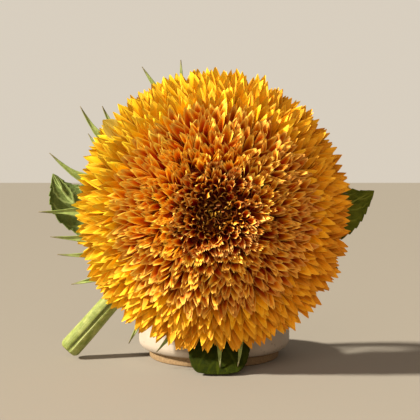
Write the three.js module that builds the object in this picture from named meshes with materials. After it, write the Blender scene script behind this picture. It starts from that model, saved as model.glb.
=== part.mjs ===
// A cut double sunflower bloom that leans on a low ceramic dish.
// Millimetres, +Z up. The origin is the centre of the dish's flat underside, and the bloom faces -Y.
import * as THREE from "three";

// ---- Driving dimensions ----

// The dish that carries the bloom.
const DISH_RADIUS = 43.5;
const DISH_HEIGHT = 22;
const DISH_WALL = 5;
const DISH_FLOOR = 8;
const FOOT_RADIUS = 37.4;
const FOOT_HEIGHT = 5;

// The bloom: the plane of its outer rays, how far it bulges forward, and how it is held.
const BLOOM_RADIUS = 75;
const BLOOM_STRETCH = 1.6;
const BLOOM_DEPTH = 40;
const BLOOM_CENTRE = new THREE.Vector3(1, -42, 85);
const BLOOM_TILT = 4;
const EYE_RADIUS = 13.5;
const DIMPLE_FLOOR = BLOOM_DEPTH - 4;
const RECEPTACLE_RADIUS = 34;
const RECEPTACLE_DEPTH = 18;
const NECK_RADIUS = 9;

// The dish's rim pushes the lowest rays and bracts forward.
const PUSH = 8;
const PUSH_HALF_ANGLE = 55;

// The rays: how many show round the edge, the depth of the notch between two of them, and how thick
// they lie together at the cup and at their tips.
const RAY_COUNT = 38;
const RAY_NOTCH = 9;
const RAY_UNEVENNESS = 2.5;
const RAY_THICKNESS = 5;
const RAY_TIP_THICKNESS = 1.5;

// The cut stem, from its slanting foot on the ground to the neck behind the bloom.
const STEM_FOOT_RADIUS = 6.1;
const STEM_WAIST_RADIUS = 5.3;
const STEM_TOP_RADIUS = 8.4;

const LEAF_THICKNESS = 0.8;
const BRACT_THICKNESS = 0.7;
const BRACT_WIDTH = 11;
const BRACT_TAIL_WIDTH = 1;
const BRACT_ROWS = 3;
const BRACT_ROW_STEP = 1.5;
const BRACT_FIRST_ROW = 1.1;

// Meshes that meet keep this gap.
const GAP = 0.35;

// ---- Colours ----

const COLOURS = {
  ceramic: 0xcdbb9d,
  ray: 0xe39a12,
  floret: 0xc9700f,
  eye: 0x4a2a10,
  green: 0x7d8f3e,
  leaf: 0x41561f,
  bract: 0x9db46a,
};

function finish(colour, roughness) {
  return new THREE.MeshStandardMaterial({ color: colour, roughness, metalness: 0 });
}

// ---- Helpers ----

const toRadians = THREE.MathUtils.degToRad;
const smoothstep = THREE.MathUtils.smoothstep;

// An angle brought into one turn, from 0 to 2 pi.
function wrapped(angle) {
  return THREE.MathUtils.euclideanModulo(angle, 2 * Math.PI);
}

// A seeded source of numbers from 0 to 1, so that the part is the same each time.
function seededRandom(seed) {
  let state = seed;
  return () => {
    state = (state + 0x6d2b79f5) | 0;
    let t = Math.imul(state ^ (state >>> 15), 1 | state);
    t = (t + Math.imul(t ^ (t >>> 7), 61 | t)) ^ t;
    return ((t ^ (t >>> 14)) >>> 0) / 4294967296;
  };
}

// Moves each vertex of a geometry to where place(vertex) puts it.
function reshape(geometry, place) {
  const position = geometry.getAttribute("position");
  const vertex = new THREE.Vector3();
  for (let i = 0; i < position.count; i += 1) {
    vertex.fromBufferAttribute(position, i);
    const moved = place(vertex);
    position.setXYZ(i, moved.x, moved.y, moved.z);
  }
  geometry.computeVertexNormals();
  return geometry;
}

// Turns a profile of [radius, height] pairs round the Z axis. It starts and ends on the axis.
function turned(profile, segments) {
  const points = profile.map(([radius, height]) => new THREE.Vector2(radius, height));
  return new THREE.LatheGeometry(points, segments).rotateX(Math.PI / 2);
}

// The [radius, height] points of an arc in a profile.
function arc(centreRadius, centreHeight, size, fromDegrees, toDegrees, steps) {
  return Array.from({ length: steps + 1 }, (_, i) => {
    const angle = toRadians(fromDegrees + ((toDegrees - fromDegrees) * i) / steps);
    return [centreRadius + size * Math.cos(angle), centreHeight + size * Math.sin(angle)];
  });
}

// A point at a radius and an angle round the bloom's axis, at a height along that axis.
function polar(radius, angle, height) {
  return new THREE.Vector3(radius * Math.cos(angle), radius * Math.sin(angle), height);
}

// A thin closed blade along a spine. side(t, edge) is its half width, edge being -1 or 1, and
// facing is the direction that its upper face looks in.
function blade({ spine, facing, side, thickness, across, along, cup = 0 }) {
  const box = new THREE.BoxGeometry(1, 1, 1, across, along, 1);
  const step = 0.01;
  return reshape(box, ({ x, y, z }) => {
    const t = y + 0.5;
    const centre = spine(t);
    const tangent = spine(Math.min(t + step, 1)).sub(spine(Math.max(t - step, 0))).normalize();
    const sideways = new THREE.Vector3().crossVectors(tangent, facing(t)).normalize();
    const normal = new THREE.Vector3().crossVectors(sideways, tangent).normalize();
    const halfWidth = side(t, Math.sign(x));
    const rise = z * thickness + cup * halfWidth * (2 * x) ** 2;
    return centre.addScaledVector(sideways, 2 * x * halfWidth).addScaledVector(normal, rise);
  });
}

// The half width of an ovate, pointed leaf with a saw-toothed edge.
function leafSide(halfWidth, stalk) {
  const stalkHalfWidth = 1.3;
  const teeth = 9;
  const toothDepth = 1.2;
  return (t, edge) => {
    if (t < stalk) {
      return stalkHalfWidth;
    }
    const s = (t - stalk) / (1 - stalk);
    const body = Math.sin(Math.PI * Math.min(s ** 1.35, 1)) ** 0.65;
    const tooth = edge === 0 ? 0 : toothDepth * Math.abs(((s * teeth) % 1) - 0.5) * 2;
    return Math.max(halfWidth * body - tooth, stalkHalfWidth * (1 - s), 0.35);
  };
}

// How far the dish pushes a point of the bloom's edge forward: most at the bottom, at the ray tips.
function push(radius, angle) {
  const fromTop = angle - Math.PI / 2;
  const fromBottom = Math.abs(wrapped(fromTop) - Math.PI);
  const nearBottom = 1 - smoothstep(fromBottom, 0, toRadians(PUSH_HALF_ANGLE));
  return PUSH * nearBottom * smoothstep(radius, RECEPTACLE_RADIUS, BLOOM_RADIUS);
}

function pushed(point) {
  const radius = Math.hypot(point.x, point.y);
  point.z += push(radius, Math.atan2(point.y, point.x));
  return point;
}

// ---- The dish ----

function dish() {
  const footEdge = 0.8;
  const shoulder = 5.5;
  const rim = DISH_WALL / 2;
  const insideRadius = DISH_RADIUS - DISH_WALL;
  const insideCorner = 7;
  const profile = [
    [0, 0],
    [FOOT_RADIUS - footEdge, 0],
    [FOOT_RADIUS, footEdge],
    [FOOT_RADIUS, FOOT_HEIGHT],
    ...arc(DISH_RADIUS - shoulder, FOOT_HEIGHT + shoulder, shoulder, -80, 0, 3),
    ...arc(DISH_RADIUS - rim, DISH_HEIGHT - rim, rim, 0, 180, 4),
    ...arc(insideRadius - insideCorner, DISH_FLOOR + insideCorner, insideCorner, 0, -90, 3),
    [0, DISH_FLOOR],
  ];
  return turned(profile, 40);
}

// ---- The bloom, about its own axis: its outer rays lie round z = 0, and it faces +Z ----

// The back of the outer rays, which thin towards their tips.
function rayBack(radius) {
  const thinned = smoothstep(radius, RECEPTACLE_RADIUS, BLOOM_RADIUS);
  return -RAY_THICKNESS + (RAY_THICKNESS - RAY_TIP_THICKNESS) * thinned;
}

// One disc of pointed rays. Each ray has a length of its own.
function rays() {
  const random = seededRandom(7);
  const lengths = Array.from({ length: RAY_COUNT }, () => RAY_UNEVENNESS * (random() - 0.5));
  const edgeThickness = 1;
  const middle = 58;
  const profile = [
    [0, -RAY_THICKNESS],
    [RECEPTACLE_RADIUS, -RAY_THICKNESS],
    [middle, rayBack(middle)],
    [BLOOM_RADIUS, rayBack(BLOOM_RADIUS)],
    [BLOOM_RADIUS, rayBack(BLOOM_RADIUS) + edgeThickness],
    [middle, 0],
    [0, 0],
  ];
  return reshape(turned(profile, RAY_COUNT * 4), (point) => {
    const radius = Math.hypot(point.x, point.y);
    const angle = wrapped(Math.atan2(point.y, point.x));
    const place = (angle / (2 * Math.PI)) * RAY_COUNT;
    const ray = Math.round(place) % RAY_COUNT;
    const offCentre = Math.min(2 * Math.abs(place - Math.round(place)), 1);
    const tip = BLOOM_RADIUS + lengths[ray] - BLOOM_STRETCH * Math.cos(2 * angle);
    const reach = tip - RAY_NOTCH * offCentre ** 1.4;
    const share = Math.max(radius - middle, 0) / (BLOOM_RADIUS - middle);
    return pushed(polar(radius + share * (reach - BLOOM_RADIUS), angle, point.z));
  });
}

// The dome of florets in front of the rays, uneven all over, with a dimple for the eye.
function florets() {
  const edge = BLOOM_RADIUS - 8;
  const edgeHeight = 3;
  const dimpleRadius = EYE_RADIUS + 1.5;
  const rings = 9;
  const dome = Array.from({ length: rings + 1 }, (_, i) => {
    const angle = (i / rings) * Math.acos(dimpleRadius / edge);
    return [edge * Math.cos(angle), edgeHeight + (BLOOM_DEPTH - edgeHeight) * Math.sin(angle) ** 0.9];
  });
  const profile = [
    [0, GAP],
    [edge - 5, GAP],
    ...dome,
    [EYE_RADIUS + 0.6, DIMPLE_FLOOR],
    [0, DIMPLE_FLOOR],
  ];
  const bump = 1.5;
  return reshape(turned(profile, 60), (point) => {
    const radius = Math.hypot(point.x, point.y);
    const angle = Math.atan2(point.y, point.x);
    const lumps = Math.sin(11 * angle + 0.9 * point.z) + 0.5 * Math.cos(7 * angle - 0.6 * point.z);
    const onDome = point.z > edgeHeight - 1 && radius > dimpleRadius + 1;
    const swell = onDome ? bump * lumps : 0;
    return pushed(polar(radius + swell, angle, point.z + 0.5 * swell));
  });
}

// The tight buds at the centre, a low button that sits in the dimple.
function eye() {
  const floor = DIMPLE_FLOOR + GAP;
  const profile = [
    [0, floor],
    [EYE_RADIUS - 1, floor],
    [EYE_RADIUS, floor + 1],
    [EYE_RADIUS * 0.8, floor + 2.2],
    [EYE_RADIUS * 0.4, floor + 2.4],
    [0, floor + 2],
  ];
  return turned(profile, 24);
}

// The green cup that the rays and bracts stand on.
function receptacle() {
  const back = -RECEPTACLE_DEPTH;
  const front = -RAY_THICKNESS - GAP;
  const profile = [
    [0, back],
    [NECK_RADIUS, back],
    [NECK_RADIUS + 4, back + 1.6],
    [RECEPTACLE_RADIUS * 0.66, back + 4.4],
    [RECEPTACLE_RADIUS * 0.88, front - 4],
    [RECEPTACLE_RADIUS, front - 0.8],
    [RECEPTACLE_RADIUS - 1, front],
    [0, front],
  ];
  return turned(profile, 36);
}

// ---- The bracts, round the edge of the cup ----

// The long bracts, which reach past the rays. Each has its tip's angle in degrees, its reach from the
// bloom's axis, how far it curls forward along that axis, and how many degrees it bends sideways from
// its root to its tip.
const LONG_BRACTS = [
  [103, 84, -2, -2],
  [117, 87.5, 1, 3],
  [137, 83.5, -2, -3],
  [142, 92.5, 0, -5],
  [148.5, 80.5, -4, -5],
  [160.5, 94.5, 0, -6],
  [180, 95, 1, 2],
  [188.5, 89, 2, -2],
  [195, 87.5, 1, -5],
  [206.5, 87, -3, -2],
  [236.5, 84, -2, 3],
  [247, 81, -2, -3],
  [271.5, 81.5, 2.5, 2],
  [278, 81.5, 5, -3],
];

// The short bracts stand behind the rays, between the long ones. Each has its tip's angle and its
// sideways bend, and the rest is left to a seeded rule.
const SHORT_BRACTS = [
  [8, -4],
  [15, 3],
  [36, -5],
  [42, 3],
  [63, -4],
  [69, 4],
  [90, -3],
  [129, 2],
  [224, 4],
  [257, 3],
  [300, 4],
  [307, -4],
  [329, 4],
  [335, -3],
  [355, 4],
];
const SHORT_BRACT_REACH = 71;
const SHORT_BRACT_CURL = -5;

function shortBracts() {
  const random = seededRandom(3);
  return SHORT_BRACTS.map(([degrees, bend]) => {
    const reach = SHORT_BRACT_REACH + 3 * (random() - 0.5);
    const curl = SHORT_BRACT_CURL + 1.5 * (random() - 0.5);
    return [degrees, reach, curl, bend];
  });
}

const BRACTS = [...LONG_BRACTS, ...shortBracts()].sort((a, b) => a[0] - b[0]);

// Each bract lies along the back of the rays, in one of three rows so that neighbours can overlap.
function bract([degrees, reach, curl, bend], index) {
  const root = RECEPTACLE_RADIUS + 1.2;
  const row = index % BRACT_ROWS;
  const offset = BRACT_FIRST_ROW + BRACT_ROW_STEP * row;
  const spine = (t) => {
    const radius = root + (reach - root) * t;
    const angle = toRadians(degrees - bend * (1 - t ** 2));
    const height = rayBack(Math.min(radius, BLOOM_RADIUS)) - offset + curl * t ** 3;
    return pushed(polar(radius, angle, height));
  };
  return blade({
    spine,
    facing: () => new THREE.Vector3(0, 0, 1),
    side: (t) => (BRACT_WIDTH / 2) * (1 - t) ** 1.25 * (1 + 0.35 * t) + BRACT_TAIL_WIDTH / 2,
    thickness: BRACT_THICKNESS,
    across: 2,
    along: 7,
  });
}

// ---- The stem and its leaves, in the part's own frame ----

const stemRoute = new THREE.CatmullRomCurve3(
  [
    [-82.8, -11, 4.7],
    [-70.8, -8.5, 18],
    [-59, -6, 31.3],
    [-41, -2, 50],
    [-24, 1, 65.5],
    [-8.5, -3.5, 78.5],
    [0.4, -13.5, 82.9],
    [1, -22.9, 83.6],
  ].map((point) => new THREE.Vector3(...point)),
);

function stem() {
  const sides = 12;
  const steps = 22;
  const frames = stemRoute.computeFrenetFrames(steps, false);
  const rod = new THREE.CylinderGeometry(1, 1, 1, sides, steps);
  return reshape(rod, ({ x, y, z }) => {
    const index = Math.round((y + 0.5) * steps);
    const t = index / steps;
    const waist = STEM_FOOT_RADIUS + (STEM_WAIST_RADIUS - STEM_FOOT_RADIUS) * smoothstep(t, 0, 0.4);
    const radius = waist + (STEM_TOP_RADIUS - STEM_WAIST_RADIUS) * smoothstep(t, 0.6, 1);
    return stemRoute
      .getPointAt(t)
      .addScaledVector(frames.normals[index], radius * z)
      .addScaledVector(frames.binormals[index], radius * x);
  });
}

function leaf({ route, facing, halfWidth, stalk, cup }) {
  const curve = new THREE.CatmullRomCurve3(route.map((point) => new THREE.Vector3(...point)));
  return blade({
    spine: (t) => curve.getPointAt(THREE.MathUtils.clamp(t, 0, 1)),
    facing,
    side: leafSide(halfWidth, stalk),
    thickness: LEAF_THICKNESS,
    across: 4,
    along: 20,
    cup,
  });
}

const forward = () => new THREE.Vector3(0, -1, 0);

const LEAVES = {
  leaf_left: {
    route: [[-14, -9, 85], [-44, -19, 84], [-76.5, -22, 88.5], [-88.5, -22, 105]],
    facing: forward,
    halfWidth: 17,
    stalk: 0.18,
    cup: 0.12,
  },
  leaf_right: {
    route: [[4.5, -6, 87], [32, -15, 85], [66, -21, 85.5], [88.3, -22, 95.5]],
    facing: forward,
    halfWidth: 17,
    stalk: 0.18,
    cup: -0.1,
  },
  leaf_bottom: {
    route: [
      [-3, -9, 69],
      [0, -22, 54],
      [2.5, -33, 38],
      [3, -41.5, 25.5],
      [2.6, -48, 14],
      [2, -52, 5],
      [2, -57, 1.2],
    ],
    facing: (t) => new THREE.Vector3(0, -1, t < 0.75 ? 0.8 : 0.2),
    halfWidth: 17,
    stalk: 0.2,
    cup: 0,
  },
};

// ---- The part ----

const part = new THREE.Group();

function add(group, name, geometry, material) {
  const mesh = new THREE.Mesh(geometry, material);
  mesh.name = name;
  group.add(mesh);
}

const bloom = new THREE.Group();
bloom.position.copy(BLOOM_CENTRE);
bloom.rotation.x = toRadians(90 - BLOOM_TILT);
part.add(bloom);

add(part, "dish", dish(), finish(COLOURS.ceramic, 0.6));
add(part, "stem", stem(), finish(COLOURS.green, 0.7));
for (const [name, settings] of Object.entries(LEAVES)) {
  add(part, name, leaf(settings), finish(COLOURS.leaf, 0.6));
}

add(bloom, "receptacle", receptacle(), finish(COLOURS.green, 0.7));
add(bloom, "bloom_rays", rays(), finish(COLOURS.ray, 0.6));
add(bloom, "bloom_florets", florets(), finish(COLOURS.floret, 0.6));
add(bloom, "bloom_eye", eye(), finish(COLOURS.eye, 0.7));
BRACTS.forEach((settings, index) => {
  const number = String(index + 1).padStart(2, "0");
  add(bloom, `bract_${number}`, bract(settings, index), finish(COLOURS.bract, 0.6));
});

export default part;
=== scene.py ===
import math

import bmesh
import bpy
import numpy as np
from mathutils import Matrix, Vector


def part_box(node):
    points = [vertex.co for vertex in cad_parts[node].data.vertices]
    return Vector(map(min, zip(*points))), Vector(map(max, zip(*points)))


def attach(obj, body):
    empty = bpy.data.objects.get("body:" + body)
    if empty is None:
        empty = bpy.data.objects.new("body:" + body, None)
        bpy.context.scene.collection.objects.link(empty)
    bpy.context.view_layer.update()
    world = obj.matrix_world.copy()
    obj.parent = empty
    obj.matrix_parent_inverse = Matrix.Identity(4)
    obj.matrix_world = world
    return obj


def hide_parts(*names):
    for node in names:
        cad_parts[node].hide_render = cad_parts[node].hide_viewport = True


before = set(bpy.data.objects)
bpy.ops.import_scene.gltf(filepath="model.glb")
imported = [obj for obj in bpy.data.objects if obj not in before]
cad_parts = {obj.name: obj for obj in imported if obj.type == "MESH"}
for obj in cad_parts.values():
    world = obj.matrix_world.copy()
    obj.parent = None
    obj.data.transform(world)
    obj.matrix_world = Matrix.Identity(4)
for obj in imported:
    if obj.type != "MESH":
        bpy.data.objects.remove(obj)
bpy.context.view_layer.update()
MM = 0.001


def in_mm(place):
    """A place in millimetres, to print."""
    return [round(x / MM, 1) for x in place]


# %% [markdown]
# The object is one cut sunflower head of the double kind: the whole disc is packed with narrow golden
# florets, so it looks like a pompon. It faces us, leans on a low ceramic dish, and its short stem
# slants down behind it to the table. Everything in the bloom is placed round the bloom's own axis, so
# it is easiest to model it lying on its back, axis up, and to stand it up at the very end.

# %% The bloom's own frame
TILT = math.radians(4)
EYE_HEIGHT = 37.55 * MM
BLOOM_RADIUS = 75 * MM
CUP_RADIUS = 34 * MM


def box_centre(node):
    low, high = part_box(node)
    return (low + high) / 2


AXIS = Vector((0, -math.cos(TILT), math.sin(TILT)))
CENTRE = box_centre("bloom_eye") - AXIS * EYE_HEIGHT
TO_WORLD = Matrix.Translation(CENTRE) @ Matrix.Rotation(math.pi / 2 - TILT, 4, "X")
print("bloom centre in mm:", in_mm(CENTRE))

# %% [markdown]
# The camera looks the bloom in the face from about half a metre, only three degrees above level, with
# a longer lens, as for a plant portrait. A soft warm sun high on the left models the dome and lights
# the floor evenly, a weak warm lamp in front keeps the shaded side readable, and a pale world does the
# rest. The world is lighter to the eye than it is as a lamp, like a wall behind the table.

# %% Camera
CAMERA_RISE = math.radians(3)
CAMERA_DISTANCE = 525 * MM
CAMERA_LENS = 84.7
SENSOR_WIDTH = 36
CAMERA_SHIFT = -0.0095238
AIM = Vector((0, -0.042, 0.086))


def place_in_scene(name, data):
    """A new object for its data, in the scene."""
    made = bpy.data.objects.new(name, data)
    bpy.context.scene.collection.objects.link(made)
    return made


back = Vector((0, -math.cos(CAMERA_RISE), math.sin(CAMERA_RISE)))
camera = place_in_scene("camera", bpy.data.cameras.new("camera"))
camera.data.lens = CAMERA_LENS
camera.data.sensor_width = SENSOR_WIDTH
camera.data.shift_x = CAMERA_SHIFT
camera.location = AIM + back * CAMERA_DISTANCE
camera.rotation_euler = back.to_track_quat("Z", "Y").to_euler()
bpy.context.scene.camera = camera
bpy.context.scene.view_settings.view_transform = "Standard"
print("camera at", [round(x, 3) for x in camera.location])

# %% Lights
SUN_FROM = Vector((-0.93, -0.27, 0.60))
SUN_STRENGTH = 7.7
SUN_SOFTNESS = math.radians(5)
FILL_PLACE = Vector((-0.1, -1.0, 0.55))
FILL_SIZE = 0.9
FILL_WATTS = 3.6


def light(name, kind, strength, colour, comes_from):
    """A light that shines from the given direction."""
    made = place_in_scene(name, bpy.data.lights.new(name, kind))
    made.data.energy = strength
    made.data.color = colour
    made.rotation_euler = comes_from.to_track_quat("Z", "Y").to_euler()
    return made


sun = light("sun", "SUN", SUN_STRENGTH, (1.0, 0.94, 0.80), SUN_FROM)
sun.data.angle = SUN_SOFTNESS
fill = light("fill_lamp", "AREA", FILL_WATTS, (1.0, 0.82, 0.66), FILL_PLACE - CENTRE)
fill.location = FILL_PLACE
fill.data.shape = "DISK"
fill.data.size = FILL_SIZE

world = bpy.data.worlds.new("studio")
bpy.context.scene.world = world
world.use_nodes = True
WORLD_LIGHT = (0.26, 0.22, 0.18, 1)
WORLD_SEEN = (0.69, 0.62, 0.52, 1)
nodes, links = world.node_tree.nodes, world.node_tree.links
path, tint = nodes.new("ShaderNodeLightPath"), nodes.new("ShaderNodeMix")
tint.data_type = "RGBA"
tint.inputs[6].default_value, tint.inputs[7].default_value = WORLD_LIGHT, WORLD_SEEN
links.new(path.outputs["Is Camera Ray"], tint.inputs[0])
links.new(tint.outputs[2], nodes["Background"].inputs["Color"])
print("lights:", sun.name, fill.name, world.name)

# %% [markdown]
# Most of this plant is made with node trees, for shapes and for colours alike, and such trees are long
# to write by hand. Two small helpers shorten them. A Field stands for a value that changes over a mesh
# or a surface, and adding or multiplying fields adds the maths nodes. A Tree adds any other node: what
# goes in may be a number or a Field, and what comes out is a Field for the next node. The florets and
# the cup's scales are both flat grids that stand on many points and are bent by rules, so they share
# the steps that lay the grids out and the steps that finish them.


# %% Helpers that build node trees
MAP_NAME = "OFBake"


class Field:
    """A socket that can be added, multiplied and so on."""

    def __init__(self, tree, socket):
        self.tree, self.socket = tree, socket

    def __add__(self, other):
        return self.tree.math("ADD", self, other)

    def __sub__(self, other):
        return self.tree.math("SUBTRACT", self, other)

    def __rsub__(self, other):
        return self.tree.math("SUBTRACT", other, self)

    def __mul__(self, other):
        return self.tree.math("MULTIPLY", self, other)

    def __truediv__(self, other):
        return self.tree.math("DIVIDE", self, other)

    def __pow__(self, other):
        return self.tree.math("POWER", self, other)

    def __abs__(self):
        return self.tree.math("ABSOLUTE", self)

    __radd__ = __add__
    __rmul__ = __mul__


def sin(field):
    return field.tree.math("SINE", field)


def cos(field):
    return field.tree.math("COSINE", field)


def at_least(field, low):
    return field.tree.math("MAXIMUM", field, low)


class Tree:
    """A node tree under construction."""

    def __init__(self, tree):
        self.tree = tree

    def put(self, socket, value):
        if isinstance(value, Field):
            self.tree.links.new(value.socket, socket)
        else:
            socket.default_value = value

    def node(self, kind, *values, out=0, named=None, **settings):
        """A new node: its settings, its inputs in order or by name, and the output that is wanted."""
        made = self.tree.nodes.new(kind)
        for name, setting in settings.items():
            setattr(made, name, setting)
        for socket, value in zip([s for s in made.inputs if s.enabled], values):
            if value is not None:
                self.put(socket, value)
        for name, value in (named or {}).items():
            self.put(made.inputs[name], value)
        return Field(self, made.outputs[out])

    def math(self, operation, *values):
        return self.node("ShaderNodeMath", *values, operation=operation)

    def rise(self, value, low, high, bottom=0.0, top=1.0):
        """A smooth step from bottom to top while the value goes from low to high."""
        named = {"Value": value, "From Min": low, "From Max": high, "To Min": bottom, "To Max": top}
        return self.node("ShaderNodeMapRange", named=named, interpolation_type="SMOOTHSTEP")

    def curve(self, value, points):
        """A smooth curve through (place, value) points."""
        places, heights = zip(*points)
        low, high = min(heights), max(heights)
        made = self.tree.nodes.new("ShaderNodeFloatCurve")
        line = made.mapping.curves[0].points
        while len(line) < len(points):
            line.new(0.5, 0.5)
        start, span = places[0], places[-1] - places[0]
        for dot, (place, height) in zip(line, points):
            dot.location = ((place - start) / span, (height - low) / (high - low))
        made.mapping.update()
        self.put(made.inputs["Value"], (value - start) / span)
        return Field(self, made.outputs[0]) * (high - low) + low

    def vector(self, x, y, z):
        return self.node("ShaderNodeCombineXYZ", x, y, z)

    def parts(self, vector):
        made = self.node("ShaderNodeSeparateXYZ", vector).socket.node
        return [Field(self, socket) for socket in made.outputs]

    def place(self):
        """Where a point is on the object."""
        return self.node("ShaderNodeTexCoord", out=3)

    def own_map(self):
        """Where a point is on the piece's own map."""
        return self.parts(self.node("ShaderNodeUVMap", uv_map=MAP_NAME))[:2]

    def noise(self, vector, scale, detail=2.0):
        named = {"Vector": vector, "Scale": scale, "Detail": detail}
        return self.node("ShaderNodeTexNoise", named=named)

    def chance(self, label, seed, low=-1.0, high=1.0):
        """A random number that goes with a label."""
        return self.node("FunctionNodeRandomValue", low, high, named={"ID": label, "Seed": seed}, out=1)

    def ramp(self, value, stops):
        """A colour ramp through (place, (r, g, b)) stops."""
        made = self.node("ShaderNodeValToRGB", value)
        elements = made.socket.node.color_ramp.elements
        while len(elements) < len(stops):
            elements.new(1)
        for element, (place, colour) in zip(elements, stops):
            element.position = place
            element.color = (*colour, 1)
        return made

    def blend(self, share, a, b, way="MIX"):
        """Two colours mixed."""
        made = self.tree.nodes.new("ShaderNodeMix")
        made.data_type = "RGBA"
        made.blend_type = way
        for index, value in ((0, share), (6, a), (7, b)):
            self.put(made.inputs[index], (*value, 1) if isinstance(value, tuple) else value)
        return Field(self, made.outputs[2])

    def store(self, geometry, name, value, **settings):
        """Keeps a value on a geometry under a name."""
        named = {"Geometry": geometry, "Name": name, "Value": value}
        return self.node("GeometryNodeStoreNamedAttribute", named=named, **settings)


def new_group(name, kind, inputs, outputs):
    """A node group with named inputs and outputs: its helper, its inputs and its output sockets."""
    tree = bpy.data.node_groups.new(name, kind)
    for label, sort, value in inputs:
        socket = tree.interface.new_socket(label, in_out="INPUT", socket_type="NodeSocket" + sort)
        if value is not None:
            socket.default_value = value
    for label, sort in outputs:
        tree.interface.new_socket(label, in_out="OUTPUT", socket_type="NodeSocket" + sort)
    helper = Tree(tree)
    given = tree.nodes.new("NodeGroupInput")
    result = tree.nodes.new("NodeGroupOutput")
    return helper, {s.name: Field(helper, s) for s in given.outputs if s.name}, result.inputs


def run_shape(name, group, material, world_place=TO_WORLD, **values):
    """Runs a geometry tree and keeps the result as a plain mesh, stood up in its place."""
    source = place_in_scene(name + "_source", bpy.data.meshes.new(name + "_source"))
    modifier = source.modifiers.new("shape", "NODES")
    modifier.node_group = group
    sockets = {s.name: s.identifier for s in group.interface.items_tree if s.in_out == "INPUT"}
    modifier[sockets["Finish"]] = material
    for label, value in values.items():
        modifier[sockets[label.replace("_", " ")]] = value
    evaluated = source.evaluated_get(bpy.context.evaluated_depsgraph_get())
    mesh = bpy.data.meshes.new_from_object(evaluated)
    bpy.data.objects.remove(source)
    mesh.transform(world_place)
    mesh.name = name
    piece = place_in_scene(name, mesh)
    triangles = sum(len(p.vertices) - 2 for p in mesh.polygons)
    print(f"{name}: {len(mesh.polygons)} faces, {triangles} triangles")
    return piece


def grids_on_points(tree, count, first, across, along):
    """A flat grid on each of many points, and fields for its number and the places in the grid."""
    points = tree.node("GeometryNodePoints", count)
    points = tree.store(points, "number", tree.node("GeometryNodeInputIndex") + first)
    grid = tree.node("GeometryNodeMeshGrid", 1.0, 1.0, across, along)
    grid = tree.store(grid, "in_grid", tree.node("GeometryNodeInputPosition"), data_type="FLOAT_VECTOR")
    grids = tree.node("GeometryNodeInstanceOnPoints", named={"Points": points, "Instance": grid})
    grids = tree.node("GeometryNodeRealizeInstances", grids)
    number = tree.node("GeometryNodeInputNamedAttribute", "number")
    in_grid = tree.node("GeometryNodeInputNamedAttribute", "in_grid", data_type="FLOAT_VECTOR")
    return grids, number, *tree.parts(in_grid)[:2]


def finish_grids(tree, grids, place, map_place, material, result, flipped=False):
    """Moves the grids' points to their places and gives them their map and their material."""
    grids = tree.node("GeometryNodeSetPosition", named={"Geometry": grids, "Position": place})
    grids = tree.store(grids, MAP_NAME, map_place, data_type="FLOAT2", domain="CORNER")
    if flipped:
        grids = tree.node("GeometryNodeFlipFaces", grids)
    grids = tree.node("GeometryNodeSetShadeSmooth", grids)
    grids = tree.node("GeometryNodeSetMaterial", named={"Geometry": grids, "Material": material})
    tree.put(result["Geometry"], grids)


# %% [markdown]
# A double sunflower's florets follow the same rule as the seeds of a single one: each new floret
# stands one golden angle further round than the last, and a little further out. From the middle to
# the rim they change without a break, from shut buds to ragged little tubes, to open channels, to
# flat pointed rays. So one geometry tree makes them all. It lays a flat grid on each point of the
# spiral and then bends it by rules: where the tip is, how far it leans, how wide it is and how far
# its edges roll in are all curves over the distance from the axis. A few more florets after the rim
# is full make the layers of rays behind.

# %% The geometry tree for florets
GOLDEN_ANGLE = math.pi * (3 - math.sqrt(5))
FLORETS = 1380
CROWDING = 0.56
RIM = 1.13
MAP_COLUMNS = 8
MAP_ROWS = 4
MAP_MARGIN = 0.03
TIP_SCATTER = 1.9 * MM
TIP_LIFT = 1.3 * MM
LAYER_DEPTH = 40 * MM
STRETCH = 1.6 * MM
SHORTER_BELOW = 3.2 * MM
SET_LEFT = 1.5 * MM
EYE_RIGHT = 2.2 * MM
EYE_DROP = 2.2 * MM
FURROW_DEPTH = 0.22 * MM
RIPPLE_DEPTH = 0.7 * MM
PUSH = 8 * MM
PUSH_HALF_ANGLE = math.radians(55)
DEGREE = math.radians(1)

florets, given, result = new_group("floret_field", "GeometryNodeTree", [
    ("First", "Int", 0), ("Count", "Int", 100), ("Across", "Int", 6), ("Along", "Int", 8),
    ("Seed", "Int", 1), ("Finish", "Material", None)
], [("Geometry", "Geometry")])

grids, number, grid_x, grid_y = grids_on_points(
    florets, given["Count"], given["First"], given["Across"] + 1, given["Along"] + 1)
u = grid_x * 2
share = (number + 0.5) / FLORETS
ring = share**CROWDING


def luck(seed, low=-1.0, high=1.0):
    return florets.chance(number, given["Seed"] + seed, low, high)


def over_ring(points, unit=1.0):
    """A curve over the distance from the axis, through (ring, value) points."""
    return florets.curve(ring, [(place, value * unit) for place, value in points])


# Where along the floret a row of the grid lies: rows crowd towards the tip, where the outline turns.
row = grid_y + 0.5
t = 1 - (1 - row) ** 1.35

angle = number * GOLDEN_ANGLE + luck(1) * 0.05
inside_rim = florets.math("MINIMUM", ring, 1.0)
behind = at_least(ring - 1.0, 0.0)
uneven = luck(2) * TIP_SCATTER * inside_rim - luck(3, 0.0, 1.0) * behind * LAYER_DEPTH
oval = cos(angle * 2) * STRETCH * inside_rim
rested = at_least(0 - sin(angle), 0.0) ** 6 * inside_rim * SHORTER_BELOW
tip_radius = inside_rim * BLOOM_RADIUS + uneven - oval - rested
tip_height = over_ring([(0, 35), (0.09, 35.5), (0.18, 37.5), (0.28, 37.8), (0.4, 34.5), (0.533, 28.5),
                        (0.7, 20), (0.8, 14), (0.9, 7.5), (1.0, 0), (RIM, -3.6)], MM)
tip_height = tip_height + luck(4) * TIP_LIFT

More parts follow.
